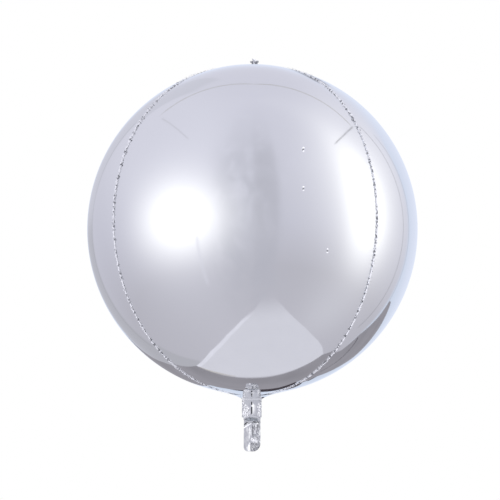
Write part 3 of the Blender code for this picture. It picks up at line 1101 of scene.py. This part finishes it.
# the tent's seams and rods: where each starts and ends (azimuth, elevation), its half width in degrees,
# tone and cover
tentLines = (
    ("backRightSeam", (122, -37), (122, 43), 0.35, "#8C8C92", 0.7),
    ("openingEdge", (133, -18), (131, 34), 0.4, "#7E7E86", 0.45),
    ("backLeftSeam", (-142, -34), (-141, 34), 0.5, "#9A9AA2", 0.5),
    ("frontLeftFold", (-36.2, -40), (-36.8, -8), 1.1, "#DADAE4", 0.45),
    ("topRightSeam", (77, 44.6), (119, 43), 0.33, "#85858A", 0.7),
    ("topLeftSeam", (-118, 48), (-62, 50), 0.3, "#B4B4BA", 0.5),
    ("rightRod", (117, 44), (179, 72), 0.38, "#9C9A8C", 0.75),
    ("leftRod", (-181, 72), (-124, 47), 0.38, "#9C9A8C", 0.7),
    ("topLimbShade", (174, 25), (163, 36), 1.5, "#24252C", 0.95),
)


def cardMask(tree, azimuth, elevation, az, el, wide, tall, core, corner):
    # 1 on the lit core, falling softly to its rim and past it
    wrapped = doMath(tree, "WRAP", azimuth, az + 180.0, az - 180.0)
    shares = []
    for field, centre, half in ((wrapped, az, wide), (elevation, el, tall)):
        offset = doMath(tree, "SUBTRACT", field, float(centre))
        size = doMath(tree, "ABSOLUTE", doMath(tree, "DIVIDE", offset, float(half)))
        shares.append(doMath(tree, "POWER", size, corner))
    far = doMath(tree, "POWER", doMath(tree, "ADD", *shares), 1 / corner)
    past = doMath(tree, "MAXIMUM", doMath(tree, "SUBTRACT", far, core), 0.0)
    return bell(tree, past, 0.0, 1 - core)


def lineMask(tree, outward, start, end, halfWidth):
    # a straight edge of the tent is a stretch of a great circle
    first, last = toward(*start), toward(*end)
    plane = first.cross(last).normalized()
    middle = (first + last).normalized()
    reach = middle.dot(first)
    off = vectorMath(tree, "DOT_PRODUCT", outward, plane).outputs["Value"]
    near = vectorMath(tree, "DOT_PRODUCT", outward, middle).outputs["Value"]
    within = mapRange(tree, near, reach - 0.004, reach + 0.012)
    return product(tree, bell(tree, off, 0.0, radians(halfWidth)), within)


def buildStudio():
    world = bpy.data.worlds.new("lightTent")
    bpy.context.scene.world = world
    world.use_nodes = True
    tree = world.node_tree
    tree.nodes.clear()
    outward = addNode(tree, "ShaderNodeTexCoord").outputs["Generated"]
    turned = addNode(tree, "ShaderNodeVectorRotate", {"Vector": outward, "Angle": -studio["turn"]},
                     rotation_type="Z_AXIS")
    axes = split(tree, turned)
    bearing = doMath(tree, "ARCTAN2", axes["X"], product(tree, axes["Y"], -1.0))
    azimuth = doMath(tree, "DEGREES", bearing)
    elevation = doMath(tree, "DEGREES", doMath(tree, "ARCSINE", axes["Z"]))

    ramp = addNode(tree, "ShaderNodeValToRGB", {0: mapRange(tree, elevation, -90.0, 90.0)})
    for number, (position, tone) in enumerate(studio["tones"]):
        stop = ramp.color_ramp.elements[number] if number < 2 else ramp.color_ramp.elements.new(position)
        stop.position = position
        stop.color = srgb(tone)
    light = ramp.outputs[0]
    hanging = vectorMath(tree, "MULTIPLY", turned, studio["hang"])
    cloth = addNode(tree, "ShaderNodeTexNoise", {"Vector": hanging, **studio["cloth"]})
    worn = mapRange(tree, cloth, *studio["worn"])
    for name, az, el, wide, tall, core, corner, tone, glow, cover, folds in cards:
        inside = cardMask(tree, azimuth, elevation, az, el, wide, tall, core, corner)
        share = product(tree, inside, doMath(tree, "MULTIPLY_ADD", worn, -folds * cover, cover))
        share.label = name
        light = blendColor(tree, share, light, srgb(tone, glow))
    for name, start, end, halfWidth, tone, cover in tentLines:
        share = product(tree, lineMask(tree, turned, start, end, halfWidth), cover)
        share.label = name
        light = blendColor(tree, share, light, srgb(tone))

    tent = addNode(tree, "ShaderNodeBackground", {0: light, 1: 1 / studio["foilShare"]})
    plain = addNode(tree, "ShaderNodeBackground", {0: (1, 1, 1, 1)})
    seen = addNode(tree, "ShaderNodeLightPath").outputs["Is Camera Ray"]
    choice = addNode(tree, "ShaderNodeMixShader", {0: seen, 1: tent, 2: plain})
    addNode(tree, "ShaderNodeOutputWorld", {0: choice})
    print("studio painted")


paleFloor = {"height": -1.6, "radius": 5.0, "corners": 96, "tone": "#F2F2F4", "lift": 0.35}
sheetHeight = -0.75
sheetGap = 0.001
# flat sheets under the balloon that only the film mirrors: name, tone, how uneven it is, where along Y it
# fades in and is full, and its outline
floorSheets = (
    ("white_card", "#D0D0D9", 0.012, -0.79, -0.42,
     ((-0.325, 0.24), (-0.25, 0.22), (0.0, 0.205), (0.30, 0.225), (0.435, 0.25), (0.455, 0.10),
      (0.45, -0.02), (0.41, -0.25), (0.34, -0.48), (0.25, -0.80), (0.18, -0.80), (0.07, -0.61),
      (-0.045, -0.46), (-0.14, -0.30), (-0.235, -0.08))),
    ("white_card_edge", "#DCDCE6", 0.03, -0.60, -0.45,
     ((-0.332, 0.225), (-0.247, -0.085), (-0.153, -0.306), (-0.055, -0.47), (0.06, -0.62),
      (0.08, -0.60), (-0.034, -0.45), (-0.127, -0.294), (-0.221, -0.074), (-0.308, 0.22))),
    ("white_card_hem", "#BDBAB9", 0.1, 0.0, 0.1,
     ((-0.325, 0.245), (-0.20, 0.218), (-0.10, 0.208), (-0.10, 0.196), (-0.20, 0.19), (-0.31, 0.21))),
    ("grey_ground", "#918F96", 0.1, 0.0, 0.1,
     ((-0.33, 0.22), (0.43, 0.235), (0.54, 0.38), (0.77, 0.50), (1.10, 0.86), (1.62, 1.40),
      (1.62, 1.62), (0.62, 1.62), (0.30, 0.78), (-0.19, 0.82), (-0.30, 1.0), (-0.75, 4.0),
      (-1.68, 4.0), (-0.81, 1.45), (-0.59, 0.78))),
    ("ground_crack", "#4A474E", 0.1, 0.0, 0.1,
     ((0.735, 0.50), (0.705, 0.545), (0.62, 0.59), (0.49, 0.633), (0.41, 0.615), (0.34, 0.585),
      (0.34, 0.595), (0.41, 0.627), (0.49, 0.65), (0.625, 0.608), (0.715, 0.565), (0.745, 0.52))),
    ("ground_hem", "#433E44", 0.15, 0.0, 0.1,
     ((-0.17, 0.82), (-0.10, 0.76), (0.01, 0.69), (0.10, 0.77), (0.20, 0.72), (0.205, 0.80),
      (0.19, 0.95), (0.14, 1.20), (0.07, 1.22), (-0.01, 1.02), (-0.06, 0.90), (-0.12, 0.86))),
    ("ground_dash", "#433E44", 0.0, 0.0, 0.1,
     ((0.235, 0.80), (0.30, 0.755), (0.305, 0.79), (0.245, 0.86))),
)


def addStage(name, corners, material):
    mesh = bpy.data.meshes.new(name)
    mesh.from_pydata(corners, [], [tuple(range(len(corners)))])
    mesh.materials.append(material)
    sheet = addObject(name, mesh)
    return sheet


def glowingCard(name, tone, uneven, fadeFrom, fadeTo):
    # a lit card, faintly uneven, see-through where it fades
    material, tree, shader, place = startMaterial(name)
    tree.nodes.remove(shader)
    blotches = addNode(tree, "ShaderNodeTexNoise", {"Scale": 9.0, "Detail": 5.0})
    dim, bright = [(1 + change) / studio["foilShare"] for change in (-uneven, uneven)]
    light = addNode(tree, "ShaderNodeEmission", {
        0: srgb(tone), 1: mapRange(tree, blotches, 0.3, 0.7, dim, bright)})
    clear = addNode(tree, "ShaderNodeBsdfTransparent")
    here = addNode(tree, "ShaderNodeMapRange", {0: split(tree, place)["Y"], 1: fadeFrom, 2: fadeTo},
                   interpolation_type="SMOOTHSTEP")
    faded = addNode(tree, "ShaderNodeMixShader", {0: here, 1: clear, 2: light})
    plugIn(tree, tree.nodes["Material Output"], {0: faded})
    return material


def buildFloor():
    # a wide pale floor for the camera, and the sheets that the film mirrors at its bottom
    radius, corners = paleFloor["radius"], paleFloor["corners"]
    turns = [tau * i / corners for i in range(corners)]
    rim = [(radius * cos(a), radius * sin(a), paleFloor["height"]) for a in turns]
    white, tree, shader, place = startMaterial("paleStudioFloor")
    tone = srgb(paleFloor["tone"])
    plugIn(tree, shader, {"Base Color": tone, "Roughness": 0.8, "Emission Color": tone,
                          "Emission Strength": paleFloor["lift"]})
    addStage("pale_floor", rim, white).visible_glossy = False
    for number, (name, tone, uneven, fadeFrom, fadeTo, outline) in enumerate(floorSheets):
        level = sheetHeight + sheetGap * number
        material = glowingCard(name, tone, uneven, fadeFrom, fadeTo)
        sheet = addStage(name, [(x, y, level) for x, y in outline], material)
        sheet.visible_camera = False
        sheet.visible_diffuse = False
    print("floor laid")


camera = {
    "place": (0.0905, -1.4193, -0.1495),
    "lens": 60.74,
    "shiftX": -0.0048,
    "shiftY": -0.0414,
    "roll": 0.2,
}


def buildCamera():
    data = bpy.data.cameras.new("camera")
    data.lens = camera["lens"]
    data.shift_x, data.shift_y = camera["shiftX"], camera["shiftY"]
    eye = addObject("camera", data)
    eye.location = camera["place"]
    eye.rotation_euler = (-eye.location).to_track_quat("-Z", "Y").to_euler()
    eye.rotation_euler.rotate_axis("Z", radians(camera["roll"]))
    bpy.context.scene.camera = eye


buildStudio()
buildFloor()
buildCamera()
bpy.context.scene.view_settings.view_transform = "Standard"
